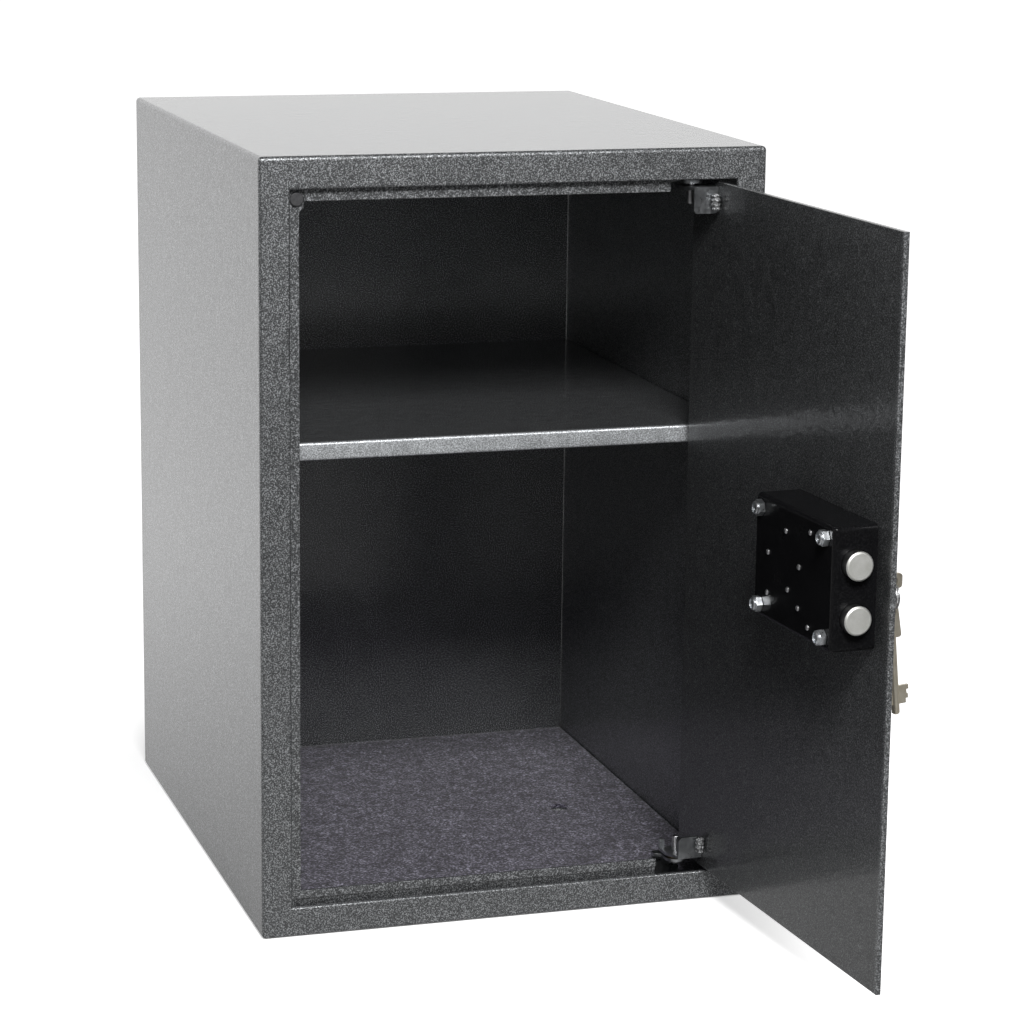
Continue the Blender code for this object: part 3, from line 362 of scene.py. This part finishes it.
def rubber(name):
    """Black rubber with a faint bloom."""
    look = Look(name, Specular_IOR_Level=0.35)
    bloom = look.noise(RUBBER_BLOOM, 3.0)
    look.colour(look.ramp(bloom, (0.3, (0.03, 0.03, 0.032)), (0.7, (0.06, 0.06, 0.062))))
    look.roughness(look.span(bloom, 0.5, 0.7))
    look.bump(bloom, 0.15, 0.0002)
    return look.mat


def felt(name):
    """Needled felt: mixed dark and pale fibres in soft clumps."""
    look = Look(name, Roughness=0.95, Sheen_Weight=0.25, Sheen_Roughness=0.5, Specular_IOR_Level=0.15)
    fibre = look.noise(FELT_FIBRE, 4.0)
    deep, mid, pale = (0.018, 0.016, 0.024), (0.055, 0.050, 0.066), (0.30, 0.285, 0.35)
    strands = look.ramp(fibre, (0.36, deep), (0.5, mid), (0.66, pale))
    clump = look.ramp(look.noise(FELT_PATCH, 4.0), (0.34, (0.45, 0.43, 0.47)), (0.62, (1.0, 1.0, 1.0)))
    layers = [look.hairs(FELT_HAIR, FELT_HAIR_LONG, turn) for turn in FELT_HAIR_TURNS]
    shades = [look.greys(layer, (0.48, 0.55), (0.66, 1.6)) for layer in layers]
    hair = shades[0]
    for shade in shades[1:]:
        hair = look.mix(hair, shade, 1.0, "LIGHTEN")
    look.colour(look.tint(look.tint(strands, clump), hair))
    look.bump(look.noise(FELT_PATCH * 2.0, 3.0), 0.5, 0.0008)
    look.bump(fibre, 0.8, 0.0006)
    return look.mat


joints = {joint["name"]: joint for joint in frame["joints"]}
bolt_axis = Vector(joints["bolt_throw"]["axis"]).normalized()
# Lighter tones along the door's free edge: a painted highlight
door_edge_painted_highlight = (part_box("door_panel")[0].y, (0.10, 0.22, 0.6))
# Lighter tones on the shelf's front fold: a painted highlight
shelf_fold_painted_highlight = (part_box("shelf")[0].y, (0.36, 0.64, 0.96))
GRAPHITE = (0.075, 0.16, 0.52)
# Darker tones for the door than for the cabinet: painted shade, standing in for the dark reflections on the door's
# inside face
GRAPHITE_PAINTED_SHADE = (0.05, 0.095, 0.28)
finishes = {
    "cabinet_paint": hammer_paint("cabinet_paint", GRAPHITE),
    "door_paint": hammer_paint("door_paint", GRAPHITE_PAINTED_SHADE, door_edge_painted_highlight),
    "shelf_paint": hammer_paint("shelf_paint", GRAPHITE, shelf_fold_painted_highlight),
    "cover_black": gloss_black("cover_black"),
    "zinc_plate": zinc("zinc_plate", 0.42, 0.64),
    # Lighter copy of the zinc for the cover's nuts and studs: a painted highlight
    "zinc_nut_painted_highlight": zinc("zinc_nut_painted_highlight", 0.7, 0.86),
    "weld_bead": weld_bead("weld_bead"),
    "plain_steel": steel("plain_steel"),
    "lever_brass": brass("lever_brass"),
    "key_nickel": nickel("key_nickel"),
    "buffer_rubber": rubber("buffer_rubber"),
    "mat_felt": felt("mat_felt"),
}


def smooth_by_angle():
    """Geometry nodes that shade faces smooth and keep edges above the angle sharp."""
    group = bpy.data.node_groups.new("smooth_by_angle", "GeometryNodeTree")
    group.interface.new_socket("Geometry", in_out="INPUT", socket_type="NodeSocketGeometry")
    group.interface.new_socket("Geometry", in_out="OUTPUT", socket_type="NodeSocketGeometry")
    start = group.nodes.new("NodeGroupInput")
    end = group.nodes.new("NodeGroupOutput")
    drop = group.nodes.new("GeometryNodeRemoveAttribute")
    drop.inputs["Name"].default_value = "custom_normal"
    faces = group.nodes.new("GeometryNodeSetShadeSmooth")
    faces.domain = "FACE"
    faces.inputs["Shade Smooth"].default_value = True
    edges = group.nodes.new("GeometryNodeSetShadeSmooth")
    edges.domain = "EDGE"
    edges.inputs["Shade Smooth"].default_value = False
    angle = group.nodes.new("GeometryNodeInputMeshEdgeAngle")
    above = group.nodes.new("FunctionNodeCompare")
    above.data_type = "FLOAT"
    above.operation = "GREATER_THAN"
    above.inputs[1].default_value = EDGE_ANGLE
    group.links.new(start.outputs[0], drop.inputs["Geometry"])
    group.links.new(drop.outputs["Geometry"], faces.inputs["Geometry"])
    group.links.new(angle.outputs["Unsigned Angle"], above.inputs[0])
    group.links.new(faces.outputs["Geometry"], edges.inputs["Geometry"])
    group.links.new(above.outputs["Result"], edges.inputs["Selection"])
    group.links.new(edges.outputs["Geometry"], end.inputs[0])
    return group


shading = smooth_by_angle()
OWN_FINISH = {"shelf": "shelf_paint", "leaf_weld_top": "weld_bead", "leaf_weld_bottom": "weld_bead"}
for n in range(1, 5):
    OWN_FINISH["cover_nut_%d" % n] = "zinc_nut_painted_highlight"
    OWN_FINISH["cover_stud_%d" % n] = "zinc_nut_painted_highlight"
LARGE_PIECES = {"body_shell", "door_panel", "shelf", "lock_cover", "stop_top", "stop_side", "stop_bottom"}


def soften(name, obj):
    """Join the split facets, round the sharp edges a little and shade the bends smooth."""
    weld = obj.modifiers.new("weld", "WELD")
    weld.merge_threshold = JOIN_REACH
    flat = obj.modifiers.new("flat", "DECIMATE")
    flat.decimate_type = "DISSOLVE"
    flat.angle_limit = FLAT_ANGLE
    edge = obj.modifiers.new("edge", "BEVEL")
    edge.width = EDGE_LARGE if name in LARGE_PIECES else EDGE_SMALL
    edge.segments = EDGE_STEPS
    edge.limit_method = "ANGLE"
    edge.angle_limit = EDGE_ANGLE
    edge.use_clamp_overlap = True
    shade = obj.modifiers.new("shade", "NODES")
    shade.node_group = shading
    even = obj.modifiers.new("even", "WEIGHTED_NORMAL")
    even.keep_sharp = True


for part in frame["record"]["subparts"]:
    name = part["node"]
    obj = nodes[name]
    slot = OWN_FINISH.get(name, part["material_slot"])
    if slot == "bolt_steel":
        obj.material_slots[0].material = turned_steel(name + "_finish", name, bolt_axis)
    else:
        obj.material_slots[0].material = finishes[slot]
    soften(name, obj)


def applied(obj):
    """Replace an object's mesh by what its modifiers make of it."""
    graph = bpy.context.evaluated_depsgraph_get()
    mesh = bpy.data.meshes.new_from_object(obj.evaluated_get(graph))
    obj.modifiers.clear()
    obj.data = mesh


def notched_sheet(low, high, notch_x, notch_y):
    """Grid of the mat's top face, without the corner that the lower hinge takes."""
    bm = bmesh.new()
    across = math.ceil((high.x - low.x) / MAT_CELL)
    along = math.ceil((high.y - low.y) / MAT_CELL)
    rows = []
    for j in range(along + 1):
        y = low.y + (high.y - low.y) * j / along
        places = [low.x + (high.x - low.x) * i / across for i in range(across + 1)]
        rows.append([bm.verts.new((x, y, high.z)) for x in places])
    for below, above in zip(rows[:-1], rows[1:]):
        for i in range(across):
            bm.faces.new((below[i], below[i + 1], above[i + 1], above[i]))
    cuts = [((notch_x, 0.0, 0.0), (1.0, 0.0, 0.0)), ((0.0, notch_y, 0.0), (0.0, 1.0, 0.0))]
    for place, normal in cuts:
        whole = bm.verts[:] + bm.edges[:] + bm.faces[:]
        bmesh.ops.bisect_plane(bm, geom=whole, plane_co=place, plane_no=normal)
    middles = [(f, f.calc_center_median()) for f in bm.faces]
    gone = [f for f, middle in middles if middle.x > notch_x and middle.y < notch_y]
    bmesh.ops.delete(bm, geom=gone, context="FACES")
    mesh = bpy.data.meshes.new("felt_mat")
    bm.to_mesh(mesh)
    bm.free()
    return mesh


def hole_cutter(spot, radius):
    """Upright cylinder about a point."""
    bm = bmesh.new()
    bmesh.ops.create_cone(
        bm, cap_ends=True, segments=HOLE_SIDES, radius1=radius, radius2=radius, depth=HOLE_DEPTH)
    mesh = bpy.data.meshes.new("hole")
    bm.to_mesh(mesh)
    bm.free()
    cutter = bpy.data.objects.new("hole", mesh)
    cutter.location = spot
    scene.collection.objects.link(cutter)
    return cutter


def felt_mat():
    """The floor mat as a laid sheet of felt, with the solid's outline and holes and an uneven top."""
    low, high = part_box("floor_mat")
    points = [v.co for v in nodes["floor_mat"].data.vertices]
    notch_x = max(p.x for p in points if p.y < low.y + MAT_EDGE)
    notch_y = min(p.y for p in points if p.x > high.x - MAT_EDGE)
    piece = bpy.data.objects.new("felt_mat", notched_sheet(low, high, notch_x, notch_y))
    scene.collection.objects.link(piece)
    body = piece.modifiers.new("body", "SOLIDIFY")
    body.thickness = high.z - low.z
    body.offset = -1.0
    cutters = []
    for opening in frame["record"]["physics"]["openings"]:
        if not opening["name"].startswith("floor_anchor"):
            continue
        spot = (Vector(opening["box_m"][0]) + Vector(opening["box_m"][1])) / 2.0
        radius = min((p.xy - spot.xy).length for p in points)
        cutters.append(hole_cutter((spot.x, spot.y, high.z), radius))
        hole = piece.modifiers.new("hole", "BOOLEAN")
        hole.object = cutters[-1]
    bpy.context.view_layer.update()
    applied(piece)
    for cutter in cutters:
        bpy.data.objects.remove(cutter)
    for vert in piece.data.vertices:
        if vert.co.z > high.z - MAT_EDGE:
            wave = noise.fractal(vert.co * MAT_WAVE, 0.8, 2.0, 3)
            vert.co.z -= MAT_RISE * (0.5 + 0.5 * max(-1.0, min(1.0, wave)))
    edge = piece.modifiers.new("edge", "BEVEL")
    edge.width = MAT_EDGE
    edge.segments = EDGE_STEPS
    edge.angle_limit = MAT_EDGE_ANGLE
    piece.data.shade_smooth()
    piece.data.materials.clear()
    piece.data.materials.append(finishes["mat_felt"])
    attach(piece, "cabinet")
    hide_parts("floor_mat")


felt_mat()


class Wiring:
    """Short calls for the nodes of the floor and the world."""

    def __init__(self, tree):
        self.tree = tree
        self.path = tree.nodes.new("ShaderNodeLightPath")

    def put(self, value, socket):
        if hasattr(value, "is_output"):
            self.tree.links.new(value, socket)
        else:
            socket.default_value = value

    def maths(self, kind, one, two):
        made = self.tree.nodes.new("ShaderNodeMath")
        made.operation = kind
        self.put(one, made.inputs[0])
        self.put(two, made.inputs[1])
        return made.outputs[0]

    def fade(self, value, start, end, low=0.0, high=1.0):
        made = self.tree.nodes.new("ShaderNodeMapRange")
        made.interpolation_type = "SMOOTHSTEP"
        self.put(value, made.inputs["Value"])
        for socket, number in (("From Min", start), ("From Max", end), ("To Min", low), ("To Max", high)):
            self.put(number, made.inputs[socket])
        return made.outputs["Result"]

    def axes(self, vector):
        made = self.tree.nodes.new("ShaderNodeSeparateXYZ")
        self.put(vector, made.inputs[0])
        return made.outputs

    def camera(self):
        return self.path.outputs["Is Camera Ray"]

    def mirror(self):
        rays = self.path.outputs
        return self.maths("MAXIMUM", rays["Is Glossy Ray"], rays["Is Transmission Ray"])


def pale_stage():
    """Pale floor: lit near the safe so that it holds the shadow, dark under it, plain white further out."""
    mesh = bpy.data.meshes.new("floor")
    left, right, near, far = -FLOOR_SIDE, FLOOR_SIDE, -FLOOR_AHEAD, FLOOR_SIDE
    corners = [(left, near), (right, near), (right, far), (left, far)]
    mesh.from_pydata([(x, y, FLOOR_Z) for x, y in corners], [], [(0, 1, 2, 3)])
    floor = bpy.data.objects.new("floor", mesh)
    scene.collection.objects.link(floor)
    mat = bpy.data.materials.new("floor")
    mat.use_nodes = True
    tree = mat.node_tree
    tree.nodes.clear()
    wire = Wiring(tree)
    place = wire.axes(tree.nodes.new("ShaderNodeTexCoord").outputs["Object"])
    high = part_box("body_shell")[1]
    beside = wire.maths("SUBTRACT", wire.maths("ABSOLUTE", place["X"], 0.0), high.x)
    before = wire.maths("SUBTRACT", wire.maths("ABSOLUTE", place["Y"], 0.0), high.y)
    away = wire.maths("MAXIMUM", beside, before)
    around = wire.fade(away, 0.0, FLOOR_FADE, 1.0 - FLOOR_HOLD, 1.0)
    under = wire.fade(away, -FLOOR_UNDER, 0.0)
    seen = wire.maths("MULTIPLY", wire.camera(), wire.maths("MULTIPLY", around, under))
    clear = wire.fade(place["Y"], MIRROR_NEAR, MIRROR_FAR, 0.0, MIRROR_PEAK)
    mirrored = wire.maths("MULTIPLY", wire.mirror(), clear)
    lit = tree.nodes.new("ShaderNodeBsdfDiffuse")
    shade = wire.fade(wire.camera(), 0.0, 1.0, FLOOR_BOUNCE, FLOOR_PALE)
    wire.put(shade, lit.inputs["Color"])
    plain = tree.nodes.new("ShaderNodeEmission")
    plain.inputs["Color"].default_value = (1.0, 1.0, 1.0, 1.0)
    wire.put(wire.maths("ADD", seen, mirrored), plain.inputs["Strength"])
    both = tree.nodes.new("ShaderNodeAddShader")
    wire.put(lit.outputs[0], both.inputs[0])
    wire.put(plain.outputs[0], both.inputs[1])
    out = tree.nodes.new("ShaderNodeOutputMaterial")
    wire.put(both.outputs[0], out.inputs["Surface"])
    mesh.materials.append(mat)


def white_world():
    """White to the camera. Reflections see the white backdrop behind, and a dimmer room ahead and above."""
    world = bpy.data.worlds.new("studio")
    world.use_nodes = True
    tree = world.node_tree
    back = tree.nodes["Background"]
    back.inputs["Color"].default_value = (1.0, 1.0, 1.0, 1.0)
    wire = Wiring(tree)
    way = wire.axes(tree.nodes.new("ShaderNodeTexCoord").outputs["Generated"])
    front_glow = wire.fade(way["Z"], *LOW_BAND, LOW_GLOW, FRONT_GLOW)
    round_glow = wire.fade(way["Y"], *BACK_BAND, front_glow, 1.0)
    glow = wire.fade(way["Z"], *TOP_BAND, round_glow, TOP_GLOW)
    mirrored = wire.fade(wire.mirror(), 0.0, 1.0, AMBIENT, glow)
    wire.put(wire.fade(wire.camera(), 0.0, 1.0, mirrored, 1.0), back.inputs["Strength"])
    scene.world = world


def soft_lamp(name, place, aim, size, power):
    """Rectangular lamp that the camera doesn't see."""
    lamp = bpy.data.lights.new(name, "AREA")
    lamp.shape = "RECTANGLE"
    lamp.size, lamp.size_y = size
    lamp.energy = power
    obj = bpy.data.objects.new(name, lamp)
    obj.location = place
    obj.rotation_euler = (Vector(aim) - Vector(place)).to_track_quat("-Z", "Y").to_euler()
    obj.visible_camera = False
    scene.collection.objects.link(obj)


def photo_camera():
    """Camera at the photograph's viewpoint."""
    level = math.cos(CAMERA_PITCH)
    ahead = Vector((math.sin(CAMERA_YAW) * level, math.cos(CAMERA_YAW) * level, math.sin(CAMERA_PITCH)))
    right = Vector((math.cos(CAMERA_YAW), -math.sin(CAMERA_YAW), 0.0))
    up = right.cross(ahead)
    across = math.cos(CAMERA_ROLL) * right + math.sin(CAMERA_ROLL) * up
    turn = Matrix((across, across.cross(ahead), -ahead)).transposed()
    lens = bpy.data.cameras.new("camera")
    lens.lens = CAMERA_LENS
    lens.sensor_width = CAMERA_SENSOR
    lens.shift_x, lens.shift_y = CAMERA_SHIFT
    lens.clip_end = CAMERA_FAR
    camera = bpy.data.objects.new("camera", lens)
    camera.matrix_world = Matrix.Translation(CAMERA_PLACE) @ turn.to_4x4()
    scene.collection.objects.link(camera)
    scene.camera = camera


pale_stage()
white_world()
photo_camera()
middle = (cad_box[0] + cad_box[1]) / 2.0
soft_lamp("softbox", LAMP_PLACE, middle, LAMP_SIZE, LAMP_POWER)

bpy.context.view_layer.update()
